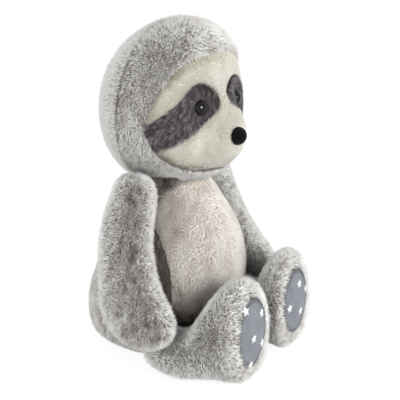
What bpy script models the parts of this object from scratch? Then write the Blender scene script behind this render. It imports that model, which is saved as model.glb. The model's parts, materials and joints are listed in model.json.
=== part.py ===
# Seated plush sloth, 27 sewn, stuffed and pressed-on pieces.
# Metres, +Z up. The sloth sits on z = 0 and faces -Y, so its own left side is at +X.
# The origin is on the ground under the neck.

import math

import bmesh
import bpy
from mathutils import Matrix, Vector
from mathutils.bvhtree import BVHTree

# Driving sizes

SEAM_GAP = 0.0003           # clear space between two sewn or resting pieces
OFF_TURN = math.radians(4)  # turns round cutters so that their edges miss the forms' own
LIMB_GAP = 0.0004           # between a limb and the torso, measured sideways
FLAT_CUT = 0.0005           # how deep a soft form is flattened where it sits
OVERRUN = 0.004             # how far a cut runs past what it cuts
FUR_WALL = 0.006            # backing and pile of the long grey fabric
SHORT_WALL = 0.0035         # backing and pile of the short face fabric
STUFFING_GAP = 0.0010       # between a skin and its stuffing

NECK_HEIGHT = 0.128         # height of the point that the head turns and nods about
NECK_RADIUS = 0.034         # ball of the neck, on which the head sits
NECK_HOLE_RADIUS = 0.017    # sewn opening at the top of the torso

TORSO_HALF_WIDTH = 0.061
TORSO_HALF_DEPTH = 0.066
SEAT_SET_BACK = 0.014       # how far the seat sits behind the neck

BELLY_HALF_WIDTH = 0.050
BELLY_LOW = 0.020
BELLY_RISE = 0.024          # top of the belly panel above the neck's point
BELLY_SIDE_SEAM = 0.005     # the side seams run this far in front of the neck
BELLY_TAPER_SHARE = 0.16
BELLY_SQUARE_SHARE = 0.8    # under 1 makes the oval squarer

HEAD_HALF_WIDTH = 0.060
HEAD_HALF_HEIGHT = 0.0675
HEAD_HALF_DEPTH = 0.060
NECK_SHOW = 0.013           # how far the head's lowest ring lies above the neck's point
HEAD_HEIGHT = NECK_HEIGHT + NECK_SHOW + HEAD_HALF_HEIGHT
HEAD_SEAM_BACK = 0.013      # seam between hood band and back of head, behind the middle
HEAD_SEAM_LEAN = math.radians(7.5)
FACE_STEP = 0.0025          # how far the face lies below the hood's pile

# The oval that the hood's edge follows has its middle at the head's front, above the head's middle
FACE_OPENING_RISE = 0.0085
FACE_OPENING_HALF_DEPTH = 0.040
FACE_OPENING_HALF_HEIGHT = 0.0595
FACE_OPENING_LEAN = math.radians(7)
FACE_OPENING_TAPER_SHARE = 0.55     # narrower at the top

PATCH_TURN = math.radians(35)   # the patch faces this far sideways
PATCH_FROM_SIDE = 0.027         # middle of the patch, from the head's side, front and middle
PATCH_SET_BACK = 0.022
PATCH_DROP = 0.0055
PATCH_INNER_RADIUS = 0.0140     # round end at the eye
PATCH_INNER_PLACE = (-0.010, 0.0140)
PATCH_POINT = 0.0045            # how far the inner end is drawn out towards the nose
PATCH_OUTER_RADIUS = 0.0100     # round end under the hood's edge
PATCH_OUTER_PLACE = (0.031, -0.0165)

EYE_RADIUS = 0.006
EYE_DOME = 0.0045
EYE_INWARD = 0.0070         # from the middle of the patch towards the nose
EYE_RISE = 0.0045           # above the head's middle
EYE_SINK = 0.0025           # how far the eye is pulled into the patch's pile
NOSE_HALF_WIDTH = 0.0085
NOSE_HALF_HEIGHT = 0.0075
NOSE_DEPTH = 0.0075
NOSE_DROP = 0.0205          # below the head's middle
SHANK_RADIUS = 0.0018
SHANK_LENGTH = 0.013
EYE_WALL = 0.0020           # fabric between the eye and its washer
NOSE_WALL = 0.0085          # the fabric bunches up behind the nose
WASHER_RADIUS = 0.0065
WASHER_THICKNESS = 0.0016

SHOULDER_RADIUS = 0.0175
SHOULDER_FORWARD = -0.001
SHOULDER_RISE = 0.015       # above the neck's point
HAND_LIFT = 0.028           # clear height under the hand
ARM_REACH_OUT = 0.032
ARM_REACH_FORWARD = 0.033
ARM_HALF_THICKNESS = 0.0185
ARM_HALF_WIDTH = 0.030
SHOULDER_FACING = math.radians(86)  # from straight ahead, where the arm's outer side faces
HAND_FACING = math.radians(70)

HIP_RADIUS = 0.021
HIP_HALF_WIDTH = 0.014      # the hip is a disc, flattened against the torso
HIP_FORWARD = 0.034
LEG_LENGTH = 0.0665         # hip to sole
LEG_TURN_IN = 0.026
FOOT_HALF_WIDTH = 0.034
FOOT_HALF_HEIGHT = 0.0435
PAD_SIDE_BORDER = 0.013     # fur that shows round the printed sole
PAD_END_BORDER = 0.014
PAD_CUT_DEPTH = 0.030       # cutter length, half of it inside the foot
GATHER_HOLE_RADIUS = 0.004  # gathered end through which a limb is stuffed

THREAD_RADIUS = 0.0009
PELLET_BAG_RADIUS = 0.030
PELLET_BAG_HEIGHT = 0.022

# Sizes that follow from these

BELLY_HIGH = NECK_HEIGHT + BELLY_RISE
SHOULDER_HEIGHT = NECK_HEIGHT + SHOULDER_RISE
ARM_DROP = SHOULDER_HEIGHT - HAND_LIFT
PATCH_SIDE = HEAD_HALF_WIDTH - PATCH_FROM_SIDE
PATCH_FORWARD = HEAD_HALF_DEPTH - PATCH_SET_BACK
WASHER_SET_BACK = WASHER_THICKNESS / 2 + 3 * SEAM_GAP
POCKET_DEPTH = SHANK_LENGTH + 3 * OVERRUN

# Shapes, as shares of the sizes above

# height over NECK_HEIGHT, width, depth, set back
torso_ring_shares = [
    (0.000, 0.80, 0.86, 1.00),
    (0.075, 0.93, 1.00, 1.00),
    (0.220, 0.98, 1.04, 0.96),
    (0.400, 1.00, 1.02, 0.60),
    (0.570, 1.00, 0.95, 0.14),
    (0.730, 0.93, 0.86, 0.00),
    (0.870, 0.80, 0.77, 0.00),
]
neck_ring_angles = [math.radians(20), math.radians(42), math.radians(65)]

# forward to back over HEAD_HALF_DEPTH, width, height, rise of the middle, lean
head_ring_shares = [
    (-1.02, 0.33, 0.25, -0.33, 0.0),
    (-0.92, 0.49, 0.345, -0.345, 0.0),
    (-0.80, 0.56, 0.51, -0.23, 0.0),
    (-0.70, 0.77, 0.73, -0.045, 0.0),
    (-0.57, 0.88, 0.88, 0.00, 0.2),
    (-0.32, 0.955, 0.96, 0.02, 0.7),
    (0.06, 1.00, 1.00, 0.01, 1.0),
    (0.22, 0.965, 0.965, 0.01, 1.0),
    (0.39, 0.94, 0.92, 0.00, 1.0),
    (0.63, 0.78, 0.755, 0.00, 0.7),
    (0.83, 0.50, 0.48, -0.01, 0.3),
]
head_nose_tip_shares = (-1.07, -0.34)
head_back_tip_shares = (0.95, -0.02)

# drop over ARM_DROP, reach out, reach forward, thickness, width
arm_ring_shares = [
    (0.14, 0.22, 0.00, 0.89, 0.68),
    (0.30, 0.47, 0.06, 0.90, 0.71),
    (0.46, 0.66, 0.24, 0.92, 0.76),
    (0.61, 0.83, 0.46, 0.97, 0.83),
    (0.76, 0.96, 0.80, 1.00, 0.99),
    (0.90, 1.00, 0.99, 0.75, 0.68),
]

# forward over LEG_LENGTH, turn in, width, height
leg_ring_shares = [
    (0.24, 0.10, 0.57, 0.45),
    (0.40, 0.37, 0.76, 0.57),
    (0.55, 0.65, 0.92, 0.80),
    (0.70, 0.85, 1.00, 0.97),
    (0.88, 0.98, 0.96, 0.98),
    (0.98, 1.00, 0.74, 0.77),
]

HEAD_SIDES = 16
TORSO_SIDES = 16
LIMB_SIDES = 12
SIDES = (("left", 1), ("right", -1))


def new_collection(name):
    collection = bpy.data.collections.new(name)
    bpy.context.scene.collection.children.link(collection)
    return collection


def fabric(name, colour, roughness):
    """A material with one colour, given as sRGB shares."""
    material = bpy.data.materials.new(name)
    material.use_nodes = True
    shader = material.node_tree.nodes["Principled BSDF"]
    linear = [((c + 0.055) / 1.055) ** 2.4 for c in colour]
    shader.inputs["Base Color"].default_value = (*linear, 1)
    shader.inputs["Roughness"].default_value = roughness
    shader.inputs["Metallic"].default_value = 0
    return material


for old in list(bpy.data.objects):
    bpy.data.objects.remove(old, do_unlink=True)

pieces = new_collection("plush_sloth")
cutters = new_collection("cutters")

grey_fur = fabric("grey long-pile plush", (0.68, 0.67, 0.65), 0.95)
pale_plush = fabric("cream short-pile plush", (0.86, 0.84, 0.79), 0.95)
belly_plush = fabric("off-white plush", (0.85, 0.82, 0.79), 0.95)
dark_plush = fabric("dark grey short-pile plush", (0.42, 0.40, 0.41), 0.95)
sole_cloth = fabric("printed sole cloth", (0.56, 0.57, 0.59), 0.85)
black_gloss = fabric("black gloss acrylic", (0.02, 0.02, 0.02), 0.08)
black_flock = fabric("black flocked plastic", (0.03, 0.03, 0.03), 0.8)
white_nylon = fabric("white nylon", (0.9, 0.9, 0.88), 0.5)
fibre = fabric("polyester stuffing", (0.95, 0.95, 0.94), 1.0)
calico = fabric("calico pellet bag", (0.80, 0.76, 0.66), 0.9)


def add_object(name, bm, material=None):
    """Make an object of a bmesh: a piece if it has a material, else a hidden cutter."""
    mesh = bpy.data.meshes.new(name)
    bm.normal_update()
    bmesh.ops.recalc_face_normals(bm, faces=bm.faces)
    bm.to_mesh(mesh)
    bm.free()
    item = bpy.data.objects.new(name, mesh)
    if material:
        mesh.materials.append(material)
        pieces.objects.link(item)
    else:
        cutters.objects.link(item)
        item.hide_render = True
        item.display_type = "WIRE"
    return item


def boolean(item, cutter, operation):
    modifier = item.modifiers.new(cutter.name, "BOOLEAN")
    modifier.operation = operation
    modifier.object = cutter


def cut_away(item, *shapes):
    for shape in shapes:
        boolean(item, shape, "DIFFERENCE")


def keep_inside(item, *shapes):
    for shape in shapes:
        boolean(item, shape, "INTERSECT")


def swollen(rings, start, end, sides):
    """Rings moved out by what Subdivision Surface takes off round them and along the form."""
    none = Vector((0, 0, 0))
    rows = [(start, none, none), *rings, (end, none, none)]
    round_share = 3 / (2 + math.cos(math.tau / sides))
    result = []
    for before, row, after in zip(rows, rows[1:], rows[2:]):
        middle, across, along = [here + (here - (one + other) / 2) / 4
                                 for one, here, other in zip(before, row, after)]
        result.append((middle, across * round_share, along * round_share))
    return result


def soft_form(name, rings, start, end, sides, material=None, smooth=True):
    """A closed padded form: a ball whose rings are moved to their places.

    Each ring is a middle and its two half axes.
    """
    if smooth:
        rings = swollen(rings, start, end, sides)
    bm = bmesh.new()
    bmesh.ops.create_uvsphere(bm, u_segments=sides, v_segments=len(rings) + 1, radius=1)
    for vert in bm.verts:
        place = round(math.acos(max(-1, min(1, vert.co.z))) / math.pi * (len(rings) + 1))
        if place == 0:
            vert.co = start
        elif place == len(rings) + 1:
            vert.co = end
        else:
            turn = math.atan2(vert.co.y, vert.co.x)
            middle, across, along = rings[place - 1]
            vert.co = middle + across * math.cos(turn) + along * math.sin(turn)
    item = add_object(name, bm, material)
    if smooth:
        modifier = item.modifiers.new("smooth", "SUBSURF")
        modifier.levels = 1
        modifier.render_levels = 1
    modifier = item.modifiers.new("flat faces", "TRIANGULATE")
    modifier.quad_method = "FIXED"
    return item


def shorter(vector, inset):
    """A half axis made shorter by the thickness of a wall, but never down to nothing."""
    return vector.normalized() * max(vector.length - inset, inset / 4)


def torso_rings(inset):
    rings = []
    for height, width, depth, back in torso_ring_shares:
        middle = Vector((0, SEAT_SET_BACK * back, NECK_HEIGHT * height - FLAT_CUT))
        middle.z = max(middle.z, inset - FLAT_CUT)
        rings.append((middle, shorter(Vector((TORSO_HALF_WIDTH * width, 0, 0)), inset),
                      shorter(Vector((0, TORSO_HALF_DEPTH * depth, 0)), inset)))
    ball = NECK_RADIUS - inset
    for angle in neck_ring_angles:
        radius = ball * math.cos(angle)
        middle = Vector((0, 0, NECK_HEIGHT + ball * math.sin(angle)))
        rings.append((middle, Vector((radius, 0, 0)), Vector((0, radius, 0))))
    return rings


def torso_form(name, inset=0, material=None, smooth=True):
    bottom = Vector((0, SEAT_SET_BACK, inset - FLAT_CUT))
    top = Vector((0, 0, NECK_HEIGHT + NECK_RADIUS - inset))
    return soft_form(name, torso_rings(inset), bottom, top, TORSO_SIDES, material, smooth)


def head_point(forward, rise, lean=0):
    """A place on the head's middle plane, from shares of its half depth and half height."""
    height = HEAD_HALF_HEIGHT * rise
    return Vector((0, HEAD_HALF_DEPTH * forward - lean * height * math.tan(HEAD_SEAM_LEAN),
                   HEAD_HEIGHT + height))


def head_form(name, inset=0, material=None, smooth=True):
    """The head from the nose tip to the back, flatter in front, with a fold behind the hood."""
    rings = []
    shrink = 1 - inset / HEAD_HALF_DEPTH
    for forward, width, height, rise, lean in head_ring_shares:
        middle = head_point(forward * shrink, rise, lean)
        tall = Vector((0, -lean * math.tan(HEAD_SEAM_LEAN), 1)) * HEAD_HALF_HEIGHT * height
        rings.append((middle, shorter(Vector((HEAD_HALF_WIDTH * width, 0, 0)), inset),
                      shorter(tall, inset)))
    nose = head_point(head_nose_tip_shares[0] * shrink, head_nose_tip_shares[1])
    back = head_point(head_back_tip_shares[0] * shrink, head_back_tip_shares[1])
    return soft_form(name, rings, nose, back, HEAD_SIDES, material, smooth)


# How far the joints lie from the middle. They start well clear, and the limbs are moved in below.
joint_side = {"shoulder": 2 * TORSO_HALF_WIDTH, "hip": 2 * TORSO_HALF_WIDTH}


def shoulder_point(sign):
    return Vector((sign * joint_side["shoulder"], -SHOULDER_FORWARD, SHOULDER_HEIGHT))


def arm_form(name, sign, inset=0, material=None, smooth=True):
    """A ball at the shoulder that runs into a long flat mitten."""
    pivot = shoulder_point(sign)
    ball = SHOULDER_RADIUS - inset
    rings = []
    for angle in (math.radians(45), math.radians(90)):
        radius = ball * math.sin(angle)
        middle = pivot + Vector((0, 0, ball * math.cos(angle)))
        rings.append((middle, Vector((sign * radius, 0, 0)), Vector((0, radius, 0))))
    for drop, out, forward, thick, wide in arm_ring_shares:
        facing = SHOULDER_FACING + (HAND_FACING - SHOULDER_FACING) * drop
        outward = Vector((sign * math.sin(facing), -math.cos(facing), 0))
        along = Vector((sign * math.cos(facing), math.sin(facing), 0))
        middle = pivot + Vector((sign * ARM_REACH_OUT * out, -ARM_REACH_FORWARD * forward,
                                 -ARM_DROP * drop))
        rings.append((middle, shorter(outward * ARM_HALF_THICKNESS * thick, inset),
                      shorter(along * ARM_HALF_WIDTH * wide, inset)))
    top = pivot + Vector((0, 0, ball))
    tip = pivot + Vector((sign * ARM_REACH_OUT, -ARM_REACH_FORWARD, inset - ARM_DROP))
    return soft_form(name, rings, top, tip, LIMB_SIDES, material, smooth)


def hip_point(sign):
    return Vector((sign * joint_side["hip"], -HIP_FORWARD, HIP_RADIUS + FLAT_CUT))


def leg_form(name, sign, inset=0, material=None, smooth=True):
    """A flattened ball at the hip, a short leg and a tall foot that stands on the ground."""
    pivot = hip_point(sign)
    ball = HIP_RADIUS - inset
    rings = []
    for angle in (math.radians(45), math.radians(90)):
        middle = pivot + Vector((0, ball * math.cos(angle), 0))
        rings.append((middle, Vector(((HIP_HALF_WIDTH - inset) * math.sin(angle), 0, 0)),
                      Vector((0, 0, ball * math.sin(angle)))))
    for forward, turn_in, width, height in leg_ring_shares:
        half_height = FOOT_HALF_HEIGHT * height
        ahead = LEG_LENGTH * forward - inset * forward ** 4
        middle = Vector((pivot.x - sign * LEG_TURN_IN * turn_in, pivot.y - ahead,
                         half_height - FLAT_CUT))
        rings.append((middle, shorter(Vector((FOOT_HALF_WIDTH * width, 0, 0)), inset),
                      shorter(Vector((0, 0, half_height)), inset)))
    back = pivot + Vector((0, ball, 0))
    sole = Vector((pivot.x - sign * LEG_TURN_IN, pivot.y - LEG_LENGTH + inset,
                   FOOT_HALF_HEIGHT - FLAT_CUT))
    return soft_form(name, rings, back, sole, LIMB_SIDES, material, smooth)


def oval_prism(name, middle, half_axes, depth, direction, segments=32, swell=0, taper=0, square=1):
    """A straight cutter with an oval outline, its length along direction."""
    bm = bmesh.new()
    bmesh.ops.create_cone(bm, cap_ends=True, segments=segments, radius1=1, radius2=1, depth=1)
    for vert in bm.verts:
        turn = math.atan2(vert.co.y, vert.co.x)
        across, up = math.cos(turn), math.sin(turn)
        across = math.copysign(abs(across) ** square, across) * (1 - taper * up)
        up = math.copysign(abs(up) ** square, up)
        vert.co = Vector((across * (half_axes[0] + swell), up * (half_axes[1] + swell),
                          vert.co.z * depth))
    item = add_object(name, bm)
    item.matrix_world = stand_along(middle, direction)
    return item


def stand_along(middle, direction):
    """Places a shape so that its own Z runs along direction and its own Y stays upright."""
    forward = direction.normalized()
    across = Vector((0, 0, 1)).cross(forward).normalized()
    up = forward.cross(across)
    turn = Matrix((across, up, forward)).transposed()
    return Matrix.Translation(middle) @ turn.to_4x4()


def box(name, low, high, turn=None, about=None):
    """A box cutter between two corners, turned about the X axis through a point."""
    bm = bmesh.new()
    bmesh.ops.create_cube(bm, size=1)
    for vert in bm.verts:
        vert.co = Vector([low[i] + (vert.co[i] + 0.5) * (high[i] - low[i]) for i in range(3)])
    if turn:
        bmesh.ops.rotate(bm, verts=bm.verts, cent=about, matrix=Matrix.Rotation(turn, 3, "X"))
    return add_object(name, bm)


def ball(name, middle, radius):
    bm = bmesh.new()
    place = Matrix.Translation(middle) @ Matrix.Rotation(OFF_TURN, 4, "Z")
    bmesh.ops.create_uvsphere(bm, u_segments=24, v_segments=16, radius=radius, matrix=place)
    return add_object(name, bm)


# Cutters that several pieces share

reach = HEAD_HEIGHT + HEAD_HALF_HEIGHT      # larger than any cut needs to be
ground = box("below_ground", (-reach, -reach, -reach), (reach, reach, 0))
neck_point = Vector((0, 0, NECK_HEIGHT))

# The limbs move in until they just clear the torso


def evaluated(item):
    bpy.context.view_layer.update()
    depsgraph = bpy.context.evaluated_depsgraph_get()
    corners = [item.matrix_world @ vert.co for vert in item.evaluated_get(depsgraph).data.vertices]
    return corners, BVHTree.FromObject(item, depsgraph)


def free_travel(limb, body):
    """How far a limb on the left can move to the right before it meets the body."""
    limb_corners, limb_surface = evaluated(limb)
    body_corners, body_surface = evaluated(body)
    to_right = [body_surface.ray_cast(corner, Vector((-1, 0, 0)))[3] for corner in limb_corners]
    to_left = [limb_surface.ray_cast(corner, Vector((1, 0, 0)))[3] for corner in body_corners]
    return min(distance for distance in to_right + to_left if distance)


torso_outline = torso_form("torso_outline")
for joint, make_form in (("shoulder", arm_form), ("hip", leg_form)):
    joint_side[joint] += LIMB_GAP - free_travel(make_form(joint + "_trial", 1), torso_outline)

# Torso: grey skin, off-white belly, stuffing and pellet bag

torso_cavity = torso_form("torso_cavity", FUR_WALL, smooth=False)
belly_axes = (BELLY_HALF_WIDTH, (BELLY_HIGH - BELLY_LOW) / 2)
belly_middle = Vector((0, -BELLY_SIDE_SEAM - reach / 2, (BELLY_HIGH + BELLY_LOW) / 2))
belly_cut = oval_prism("belly_cut", belly_middle, belly_axes, reach, Vector((0, 1, 0)),
                       swell=SEAM_GAP, taper=BELLY_TAPER_SHARE, square=BELLY_SQUARE_SHARE)
belly_shape = oval_prism("belly_shape", belly_middle - Vector((0, SEAM_GAP, 0)), belly_axes, reach,
                         Vector((0, 1, 0)), taper=BELLY_TAPER_SHARE, square=BELLY_SQUARE_SHARE)
neck_hole = oval_prism("neck_hole", Vector((0, 0, NECK_HEIGHT + NECK_RADIUS)),
                       (NECK_HOLE_RADIUS, NECK_HOLE_RADIUS), NECK_RADIUS, Vector((0, 0, 1)))


neck_hole.matrix_world = Matrix.Translation(neck_hole.location) @ Matrix.Rotation(OFF_TURN, 4, "Z")

torso_skin = torso_form("torso_skin", material=grey_fur)
cut_away(torso_skin, torso_cavity, ground, neck_hole, belly_cut)

belly_panel = torso_form("belly_panel", material=belly_plush)
cut_away(belly_panel, torso_cavity, neck_hole)
keep_inside(belly_panel, belly_shape)


# rise over PELLET_BAG_HEIGHT, radius
bag_ring_shares = [(0.06, 0.80), (0.45, 1.0), (0.85, 0.72)]


def flat_bag(name, radius, height, swell, drop, material=None):
    """A low round bag on the floor of the torso."""
    floor = FUR_WALL + SEAM_GAP - FLAT_CUT - drop
    middle = Vector((0, SEAT_SET_BACK, floor))
    rings = []
    for rise, width in bag_ring_shares:
        size = radius * width + swell
        rings.append((middle + Vector((0, 0, (height + swell + drop) * rise)),
                      Vector((size, 0, 0)), Vector((0, size, 0))))
    top = middle + Vector((0, 0, height + swell + drop))
    return soft_form(name, rings, middle, top, LIMB_SIDES, material, smooth=False)


pellet_bag = flat_bag("pellet_bag", PELLET_BAG_RADIUS, PELLET_BAG_HEIGHT, 0, 0, calico)
bag_pocket = flat_bag("bag_pocket", PELLET_BAG_RADIUS, PELLET_BAG_HEIGHT, 3 * STUFFING_GAP, OVERRUN)
torso_stuffing = torso_form("torso_stuffing", FUR_WALL + STUFFING_GAP, fibre, smooth=False)
cut_away(torso_stuffing, bag_pocket)

# Neck: the gathered thread that draws in the torso's opening

thread_turn = math.asin((NECK_HOLE_RADIUS - 2 * THREAD_RADIUS) / NECK_RADIUS)
bpy.ops.mesh.primitive_torus_add(
    major_radius=NECK_HOLE_RADIUS - THREAD_RADIUS - SEAM_GAP, minor_radius=THREAD_RADIUS,
    major_segments=24, minor_segments=8,
    location=(0, 0, NECK_HEIGHT + (NECK_RADIUS - FUR_WALL / 2) * math.cos(thread_turn)))
neck_thread = bpy.context.object
neck_thread.name = "neck_thread"
neck_thread.data.materials.append(white_nylon)
for owner in list(neck_thread.users_collection):
    owner.objects.unlink(neck_thread)
pieces.objects.link(neck_thread)

# Head: back, hood band, face, eye patches and stuffing

head_cavity = head_form("head_cavity", FUR_WALL, smooth=False)
neck_socket = ball("neck_socket", neck_point, NECK_RADIUS + SEAM_GAP)
seam_point = Vector((0, HEAD_SEAM_BACK, HEAD_HEIGHT))
behind_seam = box("behind_seam", (-reach, HEAD_SEAM_BACK - SEAM_GAP / 2, 0), (reach, reach, 2 * reach),
                  HEAD_SEAM_LEAN, seam_point)
before_seam = box("before_seam", (-reach, -reach, 0), (reach, HEAD_SEAM_BACK + SEAM_GAP / 2, 2 * reach),
                  HEAD_SEAM_LEAN, seam_point)
opening_middle = Vector((0, -HEAD_HALF_DEPTH, HEAD_HEIGHT + FACE_OPENING_RISE))
opening_axes = (FACE_OPENING_HALF_DEPTH, FACE_OPENING_HALF_HEIGHT)
opening_turn = Matrix.Rotation(FACE_OPENING_LEAN, 4, "Z")
face_cut = oval_prism("face_cut", opening_middle, opening_axes, reach, Vector((1, 0, 0)), 40, SEAM_GAP,
                      FACE_OPENING_TAPER_SHARE)
face_shape = oval_prism("face_shape", opening_middle, opening_axes, reach, Vector((1, 0, 0)), 40,
                        taper=FACE_OPENING_TAPER_SHARE)
for shape in (face_cut, face_shape):
    shape.matrix_world = shape.matrix_world @ opening_turn

head_back = head_form("head_back", material=grey_fur)
cut_away(head_back, head_cavity, neck_socket, before_seam)

hood_band = head_form("hood_band", material=grey_fur)
cut_away(hood_band, head_cavity, neck_socket, behind_seam, face_cut)

face_cavity = head_form("face_cavity", FACE_STEP + SHORT_WALL, smooth=False)


def patch_outline(name, sign, swell):
    """A tapered bar with round ends, wide at the eye, with a corner towards the nose."""
    bm = bmesh.new()
    bmesh.ops.create_cone(bm, cap_ends=True, segments=28, radius1=1, radius2=1, depth=1)
    inner, outer = Vector(PATCH_INNER_PLACE), Vector(PATCH_OUTER_PLACE)
    run = (outer - inner).normalized()
    for vert in bm.verts:
        flat = Vector((vert.co.x, vert.co.y))
        if flat.dot(run) < 0:
            drawn = Vector((-max(0, -flat.x) ** 4, 0)) * PATCH_POINT
            flat = inner + flat * (PATCH_INNER_RADIUS + swell) + drawn
        else:
            flat = outer + flat * (PATCH_OUTER_RADIUS + swell)
        vert.co = Vector((sign * flat.x, flat.y, (vert.co.z + 0.5) * reach / 2))
    item = add_object(name, bm)
    outward = Vector((sign * math.sin(PATCH_TURN), -math.cos(PATCH_TURN), 0))
    middle = Vector((sign * PATCH_SIDE, -PATCH_FORWARD, HEAD_HEIGHT - PATCH_DROP))
    item.matrix_world = stand_along(middle - outward * PATCH_FORWARD / 2, outward)
    return item


face_surface = evaluated(head_form("face_surface", FACE_STEP))[1]


def button_seat(side, height):
    """Where a line from straight ahead meets the face, and the way the face looks there."""
    start = Vector((side, -2 * HEAD_HALF_DEPTH, height))
    place, normal, _, _ = face_surface.ray_cast(start, Vector((0, 1, 0)))
    return place, normal


def tunnel(name, place, normal, radius, depth, segments=14):
    """A hole straight into the head, for a shank or a washer."""
    item = oval_prism(name, place, (radius, radius), depth, normal, segments)
    start = stand_along(place - normal * (depth / 2 - OVERRUN), normal)
    item.matrix_world = start @ Matrix.Rotation(OFF_TURN, 4, "Z")
    return item


nose_place, nose_normal = button_seat(0, HEAD_HEIGHT - NOSE_DROP)
nose_hole = tunnel("nose_hole", nose_place, nose_normal, SHANK_RADIUS + SEAM_GAP, SHANK_LENGTH)
face_panel = head_form("face_panel", FACE_STEP, pale_plush)
cut_away(face_panel, face_cavity, nose_hole, neck_socket)
keep_inside(face_panel, face_shape)

head_stuffing = head_form("head_stuffing", FUR_WALL + STUFFING_GAP, fibre, smooth=False)
stuffing_socket = ball("stuffing_socket", neck_point, NECK_RADIUS + STUFFING_GAP)
cut_away(head_stuffing, stuffing_socket)

eye_patches = {}
for side, sign in SIDES:
    cut_away(face_panel, patch_outline("patch_cut_" + side, sign, SEAM_GAP))
    patch = head_form("eye_patch_" + side, FACE_STEP, dark_plush)
    cut_away(patch, face_cavity)
    keep_inside(patch, face_shape, patch_outline("patch_shape_" + side, sign, 0))
    eye_patches[side] = patch


# Eyes and nose: a cap in front, a shank through the fabric and a washer behind


def button(name, place, normal, half_axes, height, material):
    """A domed cap on a shank, from a half ball and a rod."""
    bm = bmesh.new()
    bmesh.ops.create_uvsphere(bm, u_segments=18, v_segments=10, radius=1)
    bmesh.ops.bisect_plane(bm, geom=bm.verts[:] + bm.edges[:] + bm.faces[:],
                           plane_co=(0, 0, 0), plane_no=(0, 0, -1), clear_outer=True)
    rim = [edge for edge in bm.edges if edge.is_boundary]
    bmesh.ops.holes_fill(bm, edges=rim)
    for vert in bm.verts:
        vert.co = Vector((vert.co.x * half_axes[0], vert.co.y * half_axes[1], vert.co.z * height))
    cap = add_object(name, bm, material)
    cap.matrix_world = stand_along(place + normal * SEAM_GAP, normal)
    shank = oval_prism(name + "_shank", Vector((0, 0, 0)), (SHANK_RADIUS, SHANK_RADIUS),
                       SHANK_LENGTH + height / 2, Vector((0, 0, 1)), 14)
    shank.matrix_world = cap.matrix_world @ Matrix.Translation((0, 0, height / 4 - SHANK_LENGTH / 2))
    boolean(cap, shank, "UNION")
    return cap


def washer(name, place, normal, wall, material):
    """A pressed-on disc behind the fabric, open for the shank."""
    bm = bmesh.new()
    bmesh.ops.create_cone(bm, cap_ends=True, segments=20, radius1=WASHER_RADIUS,
                          radius2=WASHER_RADIUS, depth=WASHER_THICKNESS)
    item = add_object(name, bm, material)
    item.matrix_world = stand_along(place - normal * (wall + WASHER_SET_BACK), normal)
    cut_away(item, tunnel(name + "_bore", place, normal, SHANK_RADIUS + SEAM_GAP, 2 * SHANK_LENGTH))
    return item


buttons = []
for side, sign in SIDES:
    place, normal = button_seat(sign * (PATCH_SIDE - EYE_INWARD), HEAD_HEIGHT + EYE_RISE)
    dimple = tunnel("eye_dimple_" + side, place, normal, EYE_RADIUS + SEAM_GAP, EYE_SINK + OVERRUN, 18)
    cut_away(eye_patches[side], dimple)
    cut_away(face_panel, dimple)
    place -= normal * EYE_SINK
    buttons.append(button("eye_" + side, place, normal, (EYE_RADIUS, EYE_RADIUS), EYE_DOME, black_gloss))
    shank_hole = tunnel("eye_hole_" + side, place, normal, SHANK_RADIUS + SEAM_GAP, SHANK_LENGTH)
    cut_away(eye_patches[side], shank_hole)
    cut_away(face_panel, shank_hole)
    buttons.append(washer("eye_washer_" + side, place, normal, EYE_WALL, white_nylon))
    cut_away(head_stuffing, tunnel("eye_pocket_" + side, place, normal, WASHER_RADIUS + SEAM_GAP,
                                   POCKET_DEPTH, 18))

nose_axes = (NOSE_HALF_WIDTH, NOSE_HALF_HEIGHT)
buttons.append(button("nose", nose_place, nose_normal, nose_axes, NOSE_DEPTH, black_flock))
buttons.append(washer("nose_washer", nose_place, nose_normal, NOSE_WALL, white_nylon))
cut_away(head_stuffing, tunnel("nose_pocket", nose_place, nose_normal, WASHER_RADIUS + SEAM_GAP,
                               POCKET_DEPTH, 18))

# Limbs: each is a skin with a gathered end towards the torso, and its stuffing

limbs = {}
for side, sign in SIDES:
    pivot = shoulder_point(sign)
    arm = arm_form("arm_" + side, sign, 0, grey_fur)
    inward = Vector((-sign, 0, 0))
    gather = tunnel("arm_gather_" + side, pivot, inward, GATHER_HOLE_RADIUS, 2 * SHOULDER_RADIUS)
    gather.location = pivot + inward * SHOULDER_RADIUS
    cut_away(arm, arm_form("arm_cavity_" + side, sign, FUR_WALL, smooth=False), gather)
    arm_stuffing = arm_form("arm_stuffing_" + side, sign, FUR_WALL + STUFFING_GAP, fibre, smooth=False)
    limbs["shoulder_" + side] = (pivot, [arm, arm_stuffing])

    pivot = hip_point(sign)
    sole = Vector((pivot.x - sign * LEG_TURN_IN, pivot.y - LEG_LENGTH, FOOT_HALF_HEIGHT - FLAT_CUT))
    pad_axes = (FOOT_HALF_WIDTH - PAD_SIDE_BORDER, FOOT_HALF_HEIGHT - PAD_END_BORDER)
    ahead = Vector((0, -1, 0))
    leg_cavity = leg_form("leg_cavity_" + side, sign, FUR_WALL, smooth=False)
    gather = tunnel("leg_gather_" + side, pivot, -ahead, GATHER_HOLE_RADIUS, 2 * HIP_RADIUS)
    gather.location = pivot - ahead * HIP_RADIUS
    leg = leg_form("leg_" + side, sign, 0, grey_fur)
    pad_cut = oval_prism("pad_cut_" + side, sole, pad_axes, PAD_CUT_DEPTH, ahead, 30, SEAM_GAP)
    cut_away(leg, leg_cavity, ground, gather, pad_cut)
    pad = leg_form("foot_pad_" + side, sign, 0, sole_cloth)
    cut_away(pad, leg_cavity)
    keep_inside(pad, oval_prism("pad_shape_" + side, sole, pad_axes, PAD_CUT_DEPTH, ahead, 30))
    leg_stuffing = leg_form("leg_stuffing_" + side, sign, FUR_WALL + STUFFING_GAP, fibre, smooth=False)
    limbs["hip_" + side] = (pivot, [leg, pad, leg_stuffing])


# Joint pivots, each an empty that carries its pieces


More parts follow.
